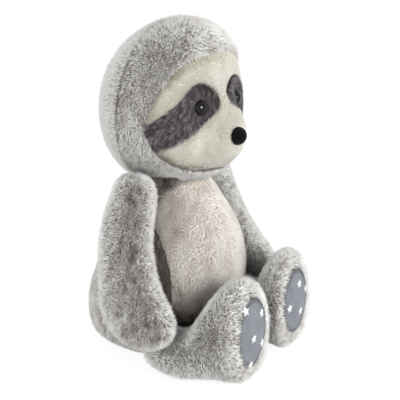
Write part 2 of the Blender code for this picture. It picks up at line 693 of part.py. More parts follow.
def carry(name, pivot, carried, parent=None):
    empty = bpy.data.objects.new(name, None)
    pieces.objects.link(empty)
    empty.location = pivot
    bpy.context.view_layer.update()
    for item in carried:
        item.parent = empty
        item.matrix_parent_inverse = Matrix.Translation(-pivot)
    if parent:
        empty.parent = parent
        empty.matrix_parent_inverse = Matrix.Translation(-parent.matrix_world.translation)
    return empty


neck_turn = carry("neck_turn_pivot", neck_point, [neck_thread])
carry("head_nod_pivot", neck_point, [head_back, hood_band, face_panel, head_stuffing,
                                     *eye_patches.values(), *buttons], neck_turn)
for joint, (pivot, carried) in limbs.items():
    carry(joint + "_pivot", pivot, carried)
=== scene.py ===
"""Looks of a seated plush sloth: panels of pile fabric sewn over stuffing, with printed cloth soles."""
import json
import math
import bmesh
import bpy
import numpy as np
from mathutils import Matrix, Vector
from mathutils.bvhtree import BVHTree


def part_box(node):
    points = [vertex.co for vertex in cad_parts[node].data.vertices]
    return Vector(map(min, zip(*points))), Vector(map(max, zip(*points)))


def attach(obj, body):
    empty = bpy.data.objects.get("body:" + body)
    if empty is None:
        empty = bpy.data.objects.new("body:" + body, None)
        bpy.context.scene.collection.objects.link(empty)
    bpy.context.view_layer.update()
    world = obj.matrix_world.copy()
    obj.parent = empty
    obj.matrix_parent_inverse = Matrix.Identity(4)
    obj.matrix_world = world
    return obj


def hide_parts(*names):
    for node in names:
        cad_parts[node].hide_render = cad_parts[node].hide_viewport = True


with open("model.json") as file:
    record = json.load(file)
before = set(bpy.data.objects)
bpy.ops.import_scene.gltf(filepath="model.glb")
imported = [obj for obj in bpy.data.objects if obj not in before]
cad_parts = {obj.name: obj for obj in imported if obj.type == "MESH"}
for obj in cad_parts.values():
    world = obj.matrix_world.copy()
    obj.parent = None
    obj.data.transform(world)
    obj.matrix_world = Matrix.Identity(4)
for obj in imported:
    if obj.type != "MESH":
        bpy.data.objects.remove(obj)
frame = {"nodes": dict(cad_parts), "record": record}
scene = bpy.context.scene
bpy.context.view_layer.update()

# Camera
# The toy is seen from its right and a little above, from 0.7 m, with a lens of about 74 mm.
VIEW_TURN, VIEW_RISE = math.radians(-56), math.radians(18)
VIEW_DISTANCE, VIEW_CENTRE = 0.700, Vector((0.0145, -0.0162, 0.1232))
LENS, SENSOR = 74.12, 36


def direction(turn, rise):
    """The way to a place at an azimuth and a height angle, where azimuth 0 is in front of the toy."""
    return Vector((math.sin(turn) * math.cos(rise), -math.cos(turn) * math.cos(rise), math.sin(rise)))


camera = bpy.data.objects.new("camera", bpy.data.cameras.new("camera"))
scene.collection.objects.link(camera)
scene.camera = camera
camera.data.lens, camera.data.sensor_width = LENS, SENSOR
camera.data.clip_start, camera.data.clip_end = 0.01, 20
towards = direction(VIEW_TURN, VIEW_RISE)
camera.rotation_euler = towards.to_track_quat("Z", "Y").to_euler()
camera.location = VIEW_CENTRE + VIEW_DISTANCE * towards

# Stuffing
# Loose polyester fibre is blown into the head, the body and each limb before its last seam is closed.
# It is out of sight in the finished toy, and fills each skin to its lining.
STUFFING_VOXEL = 0.003
BODY_OF = {name: body for body, names in frame["record"]["behaviour"]["bodies"].items() for name in names}


def colour(code):
    """Turns an sRGB hex colour to the linear values that the shaders mix."""
    parts = [int(code[i:i + 2], 16) / 255 for i in (1, 3, 5)]
    return [p / 12.92 if p <= 0.04045 else ((p + 0.055) / 1.055) ** 2.4 for p in parts] + [1]


def node(tree, kind, feeds=None, stops=(), **settings):
    """Adds a node, sets it, and feeds its inputs with plain values or with other nodes' sockets."""
    made = tree.nodes.new(kind)
    for name, value in settings.items():
        setattr(made, name, value)
    for key, value in (feeds or {}).items():
        if isinstance(value, bpy.types.NodeSocket):
            tree.links.new(value, made.inputs[key])
        else:
            made.inputs[key].default_value = value
    for i, (place, code) in enumerate(stops):
        stop = made.color_ramp.elements[i] if i < 2 else made.color_ramp.elements.new(place)
        stop.position, stop.color = place, colour(code)
    return made


def finish_of(name, **fixed):
    """A material with its node tree and its shader, which gets the values that are the same all over."""
    made = bpy.data.materials.new(name)
    made.use_nodes = True
    shader = made.node_tree.nodes["Principled BSDF"]
    for socket, value in fixed.items():
        shader.inputs[socket.replace("_", " ")].default_value = value
    return made, made.node_tree, shader


def whole(names, label):
    """A new object that holds the CAD solids called names, with their loose corners merged."""
    body = bmesh.new()
    for name in names:
        body.from_mesh(frame["nodes"][name].data)
    bmesh.ops.remove_doubles(body, verts=body.verts, dist=1e-6)
    mesh = bpy.data.meshes.new(label)
    body.to_mesh(mesh)
    body.free()
    made = bpy.data.objects.new(label, mesh)
    scene.collection.objects.link(made)
    return made


def applied(piece):
    """Turns the result of a piece's modifiers to its own plain mesh."""
    graph = bpy.context.evaluated_depsgraph_get()
    mesh = bpy.data.meshes.new_from_object(piece.evaluated_get(graph))
    piece.modifiers.clear()
    piece.data = mesh
    return piece


def modifier(piece, kind, **settings):
    """Adds a modifier with its settings."""
    made = piece.modifiers.new(kind.lower(), kind)
    for name, value in settings.items():
        setattr(made, name, value)


def plump(names, label, voxel, rounds=6):
    """The outer form of CAD solids as one closed and rounded mesh."""
    made = whole(names, label)
    modifier(made, "REMESH", mode="VOXEL", voxel_size=voxel, use_smooth_shade=True)
    modifier(made, "SMOOTH", factor=0.5, iterations=rounds)
    return applied(made)


# Hollow polyester fibre: dull white, tangled, soft at its edge.
fibre, tree, shader = finish_of("polyester_fibre", Roughness=0.95)
spot = node(tree, "ShaderNodeTexCoord").outputs["Object"]
tangle = node(tree, "ShaderNodeTexNoise", {"Vector": spot, "Scale": 420.0, "Detail": 6.0}).outputs["Fac"]
shade = node(tree, "ShaderNodeValToRGB", {"Fac": tangle}, stops=((0.3, "#D8D8D4"), (0.7, "#F6F6F3")))
bump = node(tree, "ShaderNodeBump", {"Height": tangle, "Distance": 0.002, "Strength": 0.6})
tree.links.new(shade.outputs["Color"], shader.inputs["Base Color"])
tree.links.new(bump.outputs["Normal"], shader.inputs["Normal"])

for name in [n for n in frame["nodes"] if "stuffing" in n]:
    wad = plump([name], name + "_wad", STUFFING_VOXEL)
    wad.data.materials.append(fibre)
    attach(wad, BODY_OF[name])
    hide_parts(name)

# Pellet bag
# A flat calico bag of plastic pellets lies on the bottom of the body, so that the toy sits still.
# Unbleached cotton in plain weave, with 0.9 mm between threads, and lumps where pellets press on it.
BAG_VOXEL = 0.002
calico, tree, shader = finish_of("unbleached_calico", Roughness=0.9)
spot = node(tree, "ShaderNodeTexCoord").outputs["Object"]
threads = {"Vector": spot, "Scale": 350.0, "Distortion": 1.0}
across = node(tree, "ShaderNodeTexWave", threads).outputs["Fac"]
along = node(tree, "ShaderNodeTexWave", threads, bands_direction="Y").outputs["Fac"]
weave = node(tree, "ShaderNodeMath", {0: across, 1: along}, operation="MULTIPLY").outputs["Value"]
lumps = node(tree, "ShaderNodeTexVoronoi", {"Vector": spot, "Scale": 260.0}).outputs["Distance"]
shade = node(tree, "ShaderNodeValToRGB", {"Fac": weave}, stops=((0.0, "#B9AD93"), (1.0, "#DDD5C0")))
knots = node(tree, "ShaderNodeBump", {"Height": lumps, "Distance": -0.002, "Strength": 0.5})
bump = node(tree, "ShaderNodeBump", {"Height": weave, "Distance": 0.0003, "Normal": knots.outputs["Normal"]})
tree.links.new(shade.outputs["Color"], shader.inputs["Base Color"])
tree.links.new(bump.outputs["Normal"], shader.inputs["Normal"])

bag = plump(["pellet_bag"], "pellet_bag_cloth", BAG_VOXEL)
bag.data.materials.append(calico)
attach(bag, "torso")
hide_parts("pellet_bag")

# Neck thread and button backs
# A strong nylon thread draws the neck in, and moulded nylon washers hold each eye and the nose from inside.
# Twisted thread shows slanted plies, and a moulding is smooth with a faint flow pattern.
nylon, tree, shader = finish_of("white_nylon", Roughness=0.42, IOR=1.53)
spot = node(tree, "ShaderNodeTexCoord").outputs["Object"]
plies = node(tree, "ShaderNodeTexWave", {"Vector": spot, "Scale": 260.0, "Distortion": 0.6},
             bands_direction="DIAGONAL").outputs["Fac"]
shade = node(tree, "ShaderNodeValToRGB", {"Fac": plies}, stops=((0.0, "#D9D8D2"), (1.0, "#F2F2EE")))
bump = node(tree, "ShaderNodeBump", {"Height": plies, "Distance": 0.0002, "Strength": 0.5})
tree.links.new(shade.outputs["Color"], shader.inputs["Base Color"])
tree.links.new(bump.outputs["Normal"], shader.inputs["Normal"])
for name in ("neck_thread", "eye_washer_left", "eye_washer_right", "nose_washer"):
    frame["nodes"][name].data.materials.clear()
    frame["nodes"][name].data.materials.append(nylon)

# Body skin
# The back, sides and seat are one panel of grey frosted plush: a knitted backing with a deep pile that
# is pale at its tips and taupe at its roots, so that it looks streaked wherever the pile parts.
FUR_DEPTH, FUR_LENGTH, FUR_WIDTH = 0.0026, 0.0056, 0.00062
BELLY_DEPTH = 0.0018
BACKING_THICKNESS = 0.0010
ROOT_OVERLAP = 0.0003
FORM_VOXEL = 0.0021
HIDDEN = [n for n in frame["nodes"] if "stuffing" in n or "washer" in n or n in ("pellet_bag", "neck_thread")]
# Single strands differ by these in shade, in direction and, as a share of the pile's length, in length.
GRAIN, STRAY, LENGTH_SHARES = 0.07, 0.22, (0.78, 1.08)
# Streaks run about twice as far down the toy as across it.
STREAK_FORM = (1.0, 1.0, 0.45)
# On the pile's map V is lowest on the backing, and runs from root to tip along a strand. U differs a
# little from one side of a strand to the other.
BACKING_V, ROOT_V, STRAND_V, SIDE_SHADE = 0.06, 0.08, 0.9, 0.012
# A face is an outer one if it lies this close to the rounded form and faces its way by this much.
OUTER_GAP, OUTER_FACING = 0.0011, 0.3
# A seam turns the pile this far from it and darkens it there with painted shade, as in a crease; its crease
# in the backing is narrower.
SEAM_REACH, SEAM_PAINTED_SHADE, CREASE_WIDTH, CREASE_DEPTH, CREASE_ROUNDS = 0.008, 0.25, 0.0022, 0.0010, 5
# Pile is shorter where a neighbour is nearer than about the first of these, down to the least share.
CLEAR_GAP, TOUCHING_GAP, LEAST_NAP = 0.006, 0.001, 0.25
# Where it faces down it is also shorter this close to the floor, and ends just above it.
FLOOR_FACING, FLOOR_REACH, FLOOR_NAP, FLOOR_GAP = -0.3, 0.006, 0.35, 0.0003


def pile_tree():
    """Geometry Nodes that root bent, tapered strands in a carrier and lay them over a backing."""
    tree = bpy.data.node_groups.new("pile", "GeometryNodeTree")
    kinds = {"Backing": "Geometry", "Carrier": "Object", "Density": "Float", "Length": "Float",
             "Width": "Float", "Root Depth": "Float", "Lean": "Float", "Bend": "Float",
             "Clump Size": "Float", "Ruffle": "Float", "Streak Size": "Float", "Streaks": "Float",
             "Segments": "Int", "Seed": "Int", "Pile": "Material"}
    keys = {n: tree.interface.new_socket(n, in_out="INPUT", socket_type="NodeSocket" + k).identifier
            for n, k in kinds.items()}
    tree.interface.new_socket("Fabric", in_out="OUTPUT", socket_type="NodeSocketGeometry")
    given = node(tree, "NodeGroupInput").outputs
    place = node(tree, "GeometryNodeInputPosition").outputs["Position"]
    fields = {"outward": "FLOAT_VECTOR", "comb": "FLOAT_VECTOR", "nap": "FLOAT", "shade": "FLOAT",
              "tint": "FLOAT", "along": "FLOAT", "side": "FLOAT"}
    stored = {n: node(tree, "GeometryNodeInputNamedAttribute", {"Name": n}, data_type=k).outputs["Attribute"]
              for n, k in fields.items()}
    carrier = node(tree, "GeometryNodeObjectInfo", {"Object": given["Carrier"]}).outputs["Geometry"]
    roots = node(tree, "GeometryNodeDistributePointsOnFaces",
                 {"Mesh": carrier, "Density": given["Density"], "Seed": given["Seed"]}).outputs["Points"]

    # Each root's shade comes from its streak, its own grain and its place on the toy, which also holds
    # painted shade at seams and in shaded places.
    streak_scale = node(tree, "ShaderNodeMath", {0: 1.0, 1: given["Streak Size"]},
                        operation="DIVIDE").outputs[0]
    drawn_out = node(tree, "ShaderNodeVectorMath", {0: place, 1: STREAK_FORM},
                     operation="MULTIPLY").outputs[0]
    streak = node(tree, "ShaderNodeTexNoise", {"Vector": drawn_out, "Scale": streak_scale, "Detail": 3.0,
                                               "Roughness": 0.6}).outputs[0]
    grain = node(tree, "FunctionNodeRandomValue", {2: -GRAIN, 3: GRAIN, "Seed": 7}).outputs[1]
    swing = node(tree, "ShaderNodeMath", {0: streak, 1: 0.5}, operation="SUBTRACT").outputs[0]
    swing = node(tree, "ShaderNodeMath", {0: swing, 1: given["Streaks"], 2: 0.5},
                 operation="MULTIPLY_ADD").outputs[0]
    swing = node(tree, "ShaderNodeMath", {0: swing, 1: stored["shade"]}, operation="ADD").outputs[0]
    mixed = node(tree, "ShaderNodeMath", {0: swing, 1: grain}, operation="ADD").outputs[0]
    tint = node(tree, "ShaderNodeClamp", {"Value": mixed, "Min": 0.03, "Max": 0.97}).outputs[0]
    roots = node(tree, "GeometryNodeStoreNamedAttribute", {"Geometry": roots, "Name": "tint", "Value": tint},
                 data_type="FLOAT").outputs[0]

    # A strand points outward, leans the way it is combed, and is ruffled in clumps and by itself.
    clump_scale = node(tree, "ShaderNodeMath", {0: 1.0, 1: given["Clump Size"]},
                       operation="DIVIDE").outputs[0]
    clump = node(tree, "ShaderNodeTexNoise",
                 {"Vector": place, "Scale": clump_scale, "Detail": 2.0}).outputs[1]
    clump = node(tree, "ShaderNodeVectorMath", {0: clump, 1: (0.5, 0.5, 0.5)},
                 operation="SUBTRACT").outputs[0]
    clump = node(tree, "ShaderNodeVectorMath", {0: clump, "Scale": given["Ruffle"]},
                 operation="SCALE").outputs[0]
    stray = node(tree, "FunctionNodeRandomValue", {0: (-STRAY,) * 3, 1: (STRAY,) * 3, "Seed": 3},
                 data_type="FLOAT_VECTOR").outputs[0]
    laid = node(tree, "ShaderNodeVectorMath", {0: stored["comb"], "Scale": given["Lean"]},
                operation="SCALE").outputs[0]
    way = node(tree, "ShaderNodeVectorMath", {0: stored["outward"], 1: laid}, operation="ADD").outputs[0]
    way = node(tree, "ShaderNodeVectorMath", {0: way, 1: clump}, operation="ADD").outputs[0]
    way = node(tree, "ShaderNodeVectorMath", {0: way, 1: stray}, operation="ADD").outputs[0]
    turn = node(tree, "FunctionNodeAlignRotationToVector", {"Vector": way}, axis="Z").outputs[0]
    turn = node(tree, "FunctionNodeAlignRotationToVector", {"Rotation": turn, "Vector": stored["comb"]},
                axis="X", pivot_axis="Z").outputs[0]
    uneven = node(tree, "FunctionNodeRandomValue",
                  {2: LENGTH_SHARES[0], 3: LENGTH_SHARES[1], "Seed": 5}).outputs[1]
    size = node(tree, "ShaderNodeMath", {0: given["Length"], 1: stored["nap"]},
                operation="MULTIPLY").outputs[0]
    size = node(tree, "ShaderNodeMath", {0: size, 1: uneven}, operation="MULTIPLY").outputs[0]

    # The strand itself is a three-sided cone of height 1, bent more and more towards its tip.
    slim = node(tree, "ShaderNodeMath", {0: given["Width"], 1: given["Length"]},
                operation="DIVIDE").outputs[0]
    slim = node(tree, "ShaderNodeMath", {0: slim, 1: 0.5}, operation="MULTIPLY").outputs[0]
    strand = node(tree, "GeometryNodeMeshCone", {"Vertices": 3, "Side Segments": given["Segments"],
                                                 "Radius Top": 0.0, "Radius Bottom": slim,
                                                 "Depth": 1.0}).outputs[0]
    part = node(tree, "ShaderNodeSeparateXYZ", {0: place}).outputs
    curl = node(tree, "ShaderNodeMath", {0: part["Z"], 1: 2.0}, operation="POWER").outputs[0]
    curl = node(tree, "ShaderNodeMath", {0: curl, 1: given["Bend"]}, operation="MULTIPLY").outputs[0]
    curl = node(tree, "ShaderNodeCombineXYZ", {"X": curl}).outputs[0]
    side = node(tree, "ShaderNodeMath", {0: part["Y"], 1: slim}, operation="DIVIDE").outputs[0]
    for label, value in (("along", part["Z"]), ("side", side)):
        strand = node(tree, "GeometryNodeStoreNamedAttribute",
                      {"Geometry": strand, "Name": label, "Value": value}, data_type="FLOAT").outputs[0]
    strand = node(tree, "GeometryNodeSetPosition", {"Geometry": strand, "Offset": curl}).outputs[0]

    # The roots are sunk to the backing, and each strand gets its place on the pile's map.
    sunk = node(tree, "ShaderNodeMath", {0: given["Root Depth"], 1: -1.0}, operation="MULTIPLY").outputs[0]
    sunk = node(tree, "ShaderNodeVectorMath", {0: stored["outward"], "Scale": sunk},
                operation="SCALE").outputs[0]
    roots = node(tree, "GeometryNodeSetPosition", {"Geometry": roots, "Offset": sunk}).outputs[0]
    pile = node(tree, "GeometryNodeInstanceOnPoints", {"Points": roots, "Instance": strand,
                                                       "Rotation": turn, "Scale": size}).outputs[0]
    pile = node(tree, "GeometryNodeRealizeInstances", {"Geometry": pile}).outputs[0]
    pick = node(tree, "ShaderNodeMath", {0: stored["side"], 1: SIDE_SHADE, 2: stored["tint"]},
                operation="MULTIPLY_ADD").outputs[0]
    climb = node(tree, "ShaderNodeMath", {0: stored["along"], 1: STRAND_V, 2: ROOT_V},
                 operation="MULTIPLY_ADD").outputs[0]
    pair = node(tree, "ShaderNodeCombineXYZ", {"X": pick, "Y": climb}).outputs[0]
    pile = node(tree, "GeometryNodeStoreNamedAttribute", {"Geometry": pile, "Name": "OFBake", "Value": pair},
                data_type="FLOAT2", domain="CORNER").outputs[0]

    # Strands that would reach below the floor are pressed flat on it.
    ends = node(tree, "ShaderNodeSeparateXYZ", {0: place}).outputs
    floor = node(tree, "ShaderNodeMath", {0: ends["Z"], 1: FLOOR_GAP}, operation="MAXIMUM").outputs[0]
    pressed = node(tree, "ShaderNodeCombineXYZ", {"X": ends["X"], "Y": ends["Y"], "Z": floor}).outputs[0]
    pile = node(tree, "GeometryNodeSetPosition", {"Geometry": pile, "Position": pressed}).outputs[0]
    pile = node(tree, "GeometryNodeSetShadeSmooth", {"Geometry": pile}).outputs[0]

    # The knitted backing takes the root end of the same map.
    knit = node(tree, "ShaderNodeTexNoise", {"Vector": place, "Scale": 300.0}).outputs[0]
    knit = node(tree, "ShaderNodeMath", {0: knit, 1: BACKING_V}, operation="MULTIPLY").outputs[0]
    pair = node(tree, "ShaderNodeCombineXYZ", {"X": tint, "Y": knit}).outputs[0]
    backing = node(tree, "GeometryNodeStoreNamedAttribute",
                   {"Geometry": given["Backing"], "Name": "OFBake", "Value": pair},
                   data_type="FLOAT2", domain="CORNER").outputs[0]
    both = node(tree, "GeometryNodeJoinGeometry")
    tree.links.new(pile, both.inputs[0])
    tree.links.new(backing, both.inputs[0])
    fabric = node(tree, "GeometryNodeRealizeInstances", {"Geometry": both.outputs[0]}).outputs[0]
    fabric = node(tree, "GeometryNodeSetMaterial", {"Geometry": fabric, "Material": given["Pile"]}).outputs[0]
    for label in fields:
        fabric = node(tree, "GeometryNodeRemoveAttribute", {"Geometry": fabric, "Name": label}).outputs[0]
    node(tree, "NodeGroupOutput", {0: fabric})
    return tree, keys


def pile_finish(name, roots, tips, tips_from=0.75):
    """Pile: along U lie the shades that its fibres are dyed in, and V runs from root to tip."""
    made, tree, shader = finish_of(name, Roughness=0.92, Sheen_Weight=0.15, Sheen_Roughness=0.4,
                                   Specular_IOR_Level=0.2)
    spot = node(tree, "ShaderNodeUVMap", uv_map="OFBake").outputs["UV"]
    part = node(tree, "ShaderNodeSeparateXYZ", {0: spot}).outputs
    root = node(tree, "ShaderNodeValToRGB", {"Fac": part["X"]}, stops=roots).outputs["Color"]
    tip = node(tree, "ShaderNodeValToRGB", {"Fac": part["X"]}, stops=tips).outputs["Color"]
    rise = node(tree, "ShaderNodeMapRange", {"Value": part["Y"], "From Min": 0.15,
                                             "From Max": tips_from}).outputs[0]
    mixed = node(tree, "ShaderNodeMix", {0: rise, 6: root, 7: tip}, data_type="RGBA").outputs[2]
    fleck = node(tree, "ShaderNodeTexNoise", {"Vector": spot, "Scale": 90.0, "Detail": 1.0}).outputs[0]
    fleck = node(tree, "ShaderNodeMapRange", {"Value": fleck, "To Min": 0.86, "To Max": 1.1}).outputs[0]
    tinted = node(tree, "ShaderNodeVectorMath", {0: mixed, "Scale": fleck}, operation="SCALE").outputs[0]
    tree.links.new(tinted, shader.inputs["Base Color"])
    return made


def surface(mesh):
    """A mesh's own search tree, the corners of each face and the smooth normal of each corner."""
    corners = [v.co.copy() for v in mesh.vertices]
    return (BVHTree.FromPolygons(corners, [tuple(p.vertices) for p in mesh.polygons]),
            [p.vertices[:] for p in mesh.polygons], [Vector(n.vector) for n in mesh.vertex_normals])


def solid_of(names):
    """A search tree over CAD solids, to measure how far they are."""
    made = whole(names, "probe")
    found = surface(made.data)[0]
    bpy.data.objects.remove(made)
    return found


def solids_off(*bodies):
    """A search tree over what shows of the CAD bodies other than the ones named."""
    return solid_of([n for n, b in BODY_OF.items() if b not in bodies and n not in HIDDEN])


def carrier_of(name, form, others, comb, shade, clear, seams):
    """The outer faces of one CAD panel, which know the way out and the pile's comb, length and shade.
    Near each panel in seams the pile is combed away from the seam, or over it where the share is below 0, and
    darkened there as painted shade."""
    finder, faces, normals = form
    made = whole([name], name + "_carrier")
    body = bmesh.new()
    body.from_mesh(made.data)
    inner = []
    for face in body.faces:
        _, way, _, away = finder.find_nearest(face.calc_center_median())
        if away > OUTER_GAP or way.dot(face.normal) < OUTER_FACING:
            inner.append(face)
    bmesh.ops.delete(body, geom=inner, context="FACES")
    bmesh.ops.triangulate(body, faces=body.faces)
    body.to_mesh(made.data)
    body.free()
    found = [(solid_of([n]), share) for n, share in seams.items()]
    ways, combs, naps, shades = [], [], [], []
    for corner in made.data.vertices:
        hit = finder.find_nearest(corner.co)[2]
        way = sum((normals[i] for i in faces[hit]), Vector()).normalized()
        flow = comb(corner.co) if callable(comb) else Vector(comb).normalized()
        painted_seam_shade = 0
        for seam, share in found:
            near, _, _, away = seam.find_nearest(corner.co)
            if away < SEAM_REACH:
                flow = flow + (corner.co - near).normalized() * share * (1 - away / SEAM_REACH)
                # Painted shade: the pile darkens towards the seam, as if shaded in its crease.
                painted_seam_shade -= SEAM_PAINTED_SHADE * abs(share) * (1 - away / SEAM_REACH) ** 2
        flow = flow - flow.dot(way) * way
        gap = others.find_nearest(corner.co)[3]
        nap = min(max((gap + TOUCHING_GAP) / clear, LEAST_NAP), 1)
        if way.z < FLOOR_FACING:
            nap = min(nap, max(FLOOR_NAP, corner.co.z / FLOOR_REACH))
        ways.extend(way)
        combs.extend(flow)
        naps.append(nap)
        shades.append(painted_seam_shade + (shade(corner.co, way) if shade else 0))
    for label, kind, values, field in (("outward", "FLOAT_VECTOR", ways, "vector"),
                                       ("comb", "FLOAT_VECTOR", combs, "vector"),
                                       ("nap", "FLOAT", naps, "value"), ("shade", "FLOAT", shades, "value")):
        made.data.attributes.new(label, kind, "POINT").data.foreach_set(field, values)
    return made


def backings_of(label, depths, inside, crease=CREASE_DEPTH):
    """The sewn form of one body, cut at its seams into a backing for each panel in depths, under its pile."""
    made = plump([*depths, *inside], label, FORM_VOXEL)
    mesh = made.data
    form = surface(mesh)
    finders = [solid_of([name]) for name in depths]
    gaps = np.array([[f.find_nearest(v.co)[3] for f in finders] for v in mesh.vertices])
    panel = gaps.argmin(1)
    sunk = np.array(list(depths.values()))[panel]
    if len(depths) > 1:
        seam = np.sort(gaps, 1)[:, 1]
        sunk = sunk + crease * np.exp(-(seam / CREASE_WIDTH) ** 2)
    edges = np.array([e.vertices[:] for e in mesh.edges])
    for _ in range(CREASE_ROUNDS):
        total, count = np.zeros(len(sunk)), np.zeros(len(sunk))
        for a, b in ((0, 1), (1, 0)):
            np.add.at(total, edges[:, a], sunk[edges[:, b]])
            np.add.at(count, edges[:, a], 1)
        sunk = 0.5 * sunk + 0.5 * total / count
    for corner, way, depth in zip(mesh.vertices, form[2], sunk):
        corner.co -= way * depth
    made_of = {}
    for place, name in enumerate(depths):
        body = bmesh.new()
        body.from_mesh(mesh)
        others = [f for f in body.faces if np.bincount(panel[[v.index for v in f.verts]]).argmax() != place]
        bmesh.ops.delete(body, geom=others, context="FACES")
        part = bpy.data.meshes.new(name + "_plush")
        body.to_mesh(part)
        body.free()
        piece = bpy.data.objects.new(name + "_plush", part)
        scene.collection.objects.link(piece)
        if len(depths) > 1:
            modifier(piece, "SOLIDIFY", thickness=BACKING_THICKNESS, offset=-1, use_rim=True)
            applied(piece)
        made_of[name] = piece
    bpy.data.objects.remove(made)
    return made_of, form


def plush(name, piece, form, others, material, slot, comb, shade=None, fill=0.7, clear=CLEAR_GAP,
          seams=None, **pile):
    carrier = carrier_of(name, form, others, comb, shade, clear, seams or {})
    nodes = piece.modifiers.new("pile", "NODES")
    nodes.node_group = PILE
    values = {"Carrier": carrier, "Density": 1.9e6, "Length": FUR_LENGTH, "Width": FUR_WIDTH,
              "Root Depth": FUR_DEPTH + ROOT_OVERLAP, "Lean": 0.45, "Bend": 0.0, "Clump Size": 0.005,
              "Ruffle": 1.9, "Streak Size": 0.009, "Streaks": 2.6, "Segments": 1, "Seed": 1,
              "Pile": material, **pile}
    for label, value in values.items():
        nodes[PILE_KEYS[label]] = value
    applied(piece)
    bpy.data.objects.remove(carrier)
    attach(piece, BODY_OF[name])
    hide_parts(name)


PILE, PILE_KEYS = pile_tree()
# Frosted plush: acrylic pile, dyed in shades from taupe to pale grey, with paler tips. Matt, with a soft
# sheen. All pile here is drawn much thicker and sparser than real fibre, so that its strands show.
grey_plush = pile_finish("frosted_grey_plush",
                         roots=((0.0, "#362D29"), (0.25, "#6B605A"), (0.55, "#A59F99"), (1.0, "#CFCCC7")),
                         tips=((0.0, "#6A5F59"), (0.25, "#AFA7A1"), (0.55, "#D8D7D4"), (1.0, "#E8E8E6")),
                         tips_from=0.62)
backings, torso_form = backings_of("torso_form", {"torso_skin": FUR_DEPTH, "belly_panel": BELLY_DEPTH},
                                   ["torso_stuffing"])
off_torso = solids_off("torso", "neck")
# The front of the body skin, between the arms and the belly, is painted darker: partly the darker taupe of
# its pile there, partly painted shade that falls between the arms and the belly.
plush("torso_skin", backings["torso_skin"], torso_form, off_torso, grey_plush, "grey_fur", (0, 0.2, -1),
      shade=lambda p, way: -1.0 * max(0, 0.3 - way.y) ** 2, seams={"belly_panel": 0.6}, Seed=11,
      Streaks=1.8, Ruffle=1.6, **{"Streak Size": 0.007})

# Belly
# A panel of softer cream plush with a shorter, even pile is sewn into the front of the body skin. Towards its
# lower edge its pile is painted brown and dark: it stands in for body fur that shows in the lap of the real
# toy, and is painted shade that falls in the lap.
LAP_HEIGHT, LAP_FADE, PAINTED_LAP_SHADE = 0.056, 0.014, 0.6
cream_plush = pile_finish("cream_belly_plush",
                          roots=((0.0, "#3A302B"), (0.15, "#8D8073"), (0.3, "#C4BBB1"), (0.5, "#D6CFC6"),
                                 (1.0, "#E4DFD8")),
                          tips=((0.0, "#5A4D46"), (0.15, "#A89C8E"), (0.3, "#DBD4CC"), (0.5, "#EEE9E2"),
                                (1.0, "#F8F5F1")))
plush("belly_panel", backings["belly_panel"], torso_form, off_torso, cream_plush, "belly_plush", (0, 0, -1),
      shade=lambda p, way: -PAINTED_LAP_SHADE * min(max((LAP_HEIGHT - p.z) / LAP_FADE, 0), 1),
      seams={"torso_skin": 0.8}, Density=2.3e6, Length=0.0046, Width=0.0006, Ruffle=0.6, Streaks=1.1,
      Lean=0.6, Seed=12, **{"Root Depth": 0.0020, "Clump Size": 0.007, "Streak Size": 0.012})

# Head
# A back panel and a hood band of the grey plush meet in a seam over the crown. The hood's front edge is
# turned in round the face opening, where its pile hangs over the face.
FACE_DEPTH, HOOD_CREASE = 0.0010, 0.0024
head_depths = {"head_back": FUR_DEPTH, "hood_band": FUR_DEPTH, "face_panel": FACE_DEPTH,
               "eye_patch_left": FACE_DEPTH, "eye_patch_right": FACE_DEPTH}
backings, head_form = backings_of("head_form", head_depths, ["head_stuffing"], crease=HOOD_CREASE)
off_head = solids_off("head", "neck")
# At the crown seam and along the face's edge the grey pile is darkened with painted shade.
plush("head_back", backings["head_back"], head_form, off_head, grey_plush, "grey_fur", (0, 0.5, -1),
      shade=lambda p, way: 0.25, seams={"hood_band": 0.6}, Seed=21, Streaks=1.2, Ruffle=1.1)
plush("hood_band", backings["hood_band"], head_form, off_head, grey_plush, "grey_fur", (0, -0.3, -0.8),
      shade=lambda p, way: 0.1, seams={"head_back": 0.6, "face_panel": -0.9}, Seed=22, Streaks=1.2,
      Ruffle=1.2)

# Face
# One panel of short pale plush, sheared to about 2 mm, is sewn into the hood's opening and set back in it.
# It swells to the muzzle, and its pile is combed away from the nose.
NOSE_TIP = Vector((0, -0.062, 0.189))
pale_plush = pile_finish("sheared_pale_plush",
                         roots=((0.0, "#544C44"), (0.2, "#BDB6A2"), (0.5, "#D0CDC1"), (1.0, "#DFDDD3")),
                         tips=((0.0, "#7A7268"), (0.2, "#D6D1BF"), (0.5, "#E8E6DD"), (1.0, "#F2F2EE")))
# Along the hood's edge the face pile is combed away and darkened: painted shadow of the hood's overhanging
# pile.
plush("face_panel", backings["face_panel"], head_form, off_head, pale_plush, "pale_plush",
      lambda p: (p - NOSE_TIP).normalized(), seams={"hood_band": 1.5}, Seed=31, Density=3.8e6,
      Length=0.0022, Width=0.0005, Ruffle=0.5, Streaks=0.8, Lean=0.9,
      **{"Root Depth": 0.0012, "Clump Size": 0.004, "Streak Size": 0.012})

# Eye patches
# Brushed dark plush, sewn into the face round each eye, with its pile combed outwards and down. The pile
# is shorter round the eye, so that the eye isn't hidden in it.
PATCH_CLEAR_GAP = 0.011
dark_plush = pile_finish("brushed_dark_plush",
                         roots=((0.0, "#231E1F"), (0.5, "#393334"), (1.0, "#5A5353")),
                         tips=((0.0, "#3A3435"), (0.5, "#625C5E"), (1.0, "#A39D9D")))
for side, name in ((1, "eye_patch_left"), (-1, "eye_patch_right")):
    eye = solid_of(["eye_" + name[10:]])
    plush(name, backings[name], head_form, eye, dark_plush, "dark_plush", (0.6 * side, 0.4, -0.6),
          clear=PATCH_CLEAR_GAP, seams={"face_panel": -0.6}, Seed=33, Density=3.0e6, Length=0.0050,
          Width=0.0005, Lean=1.8, Ruffle=0.9, Streaks=3.4, Segments=2, Bend=0.2,
          **{"Root Depth": 0.0012, "Clump Size": 0.004, "Streak Size": 0.0018})

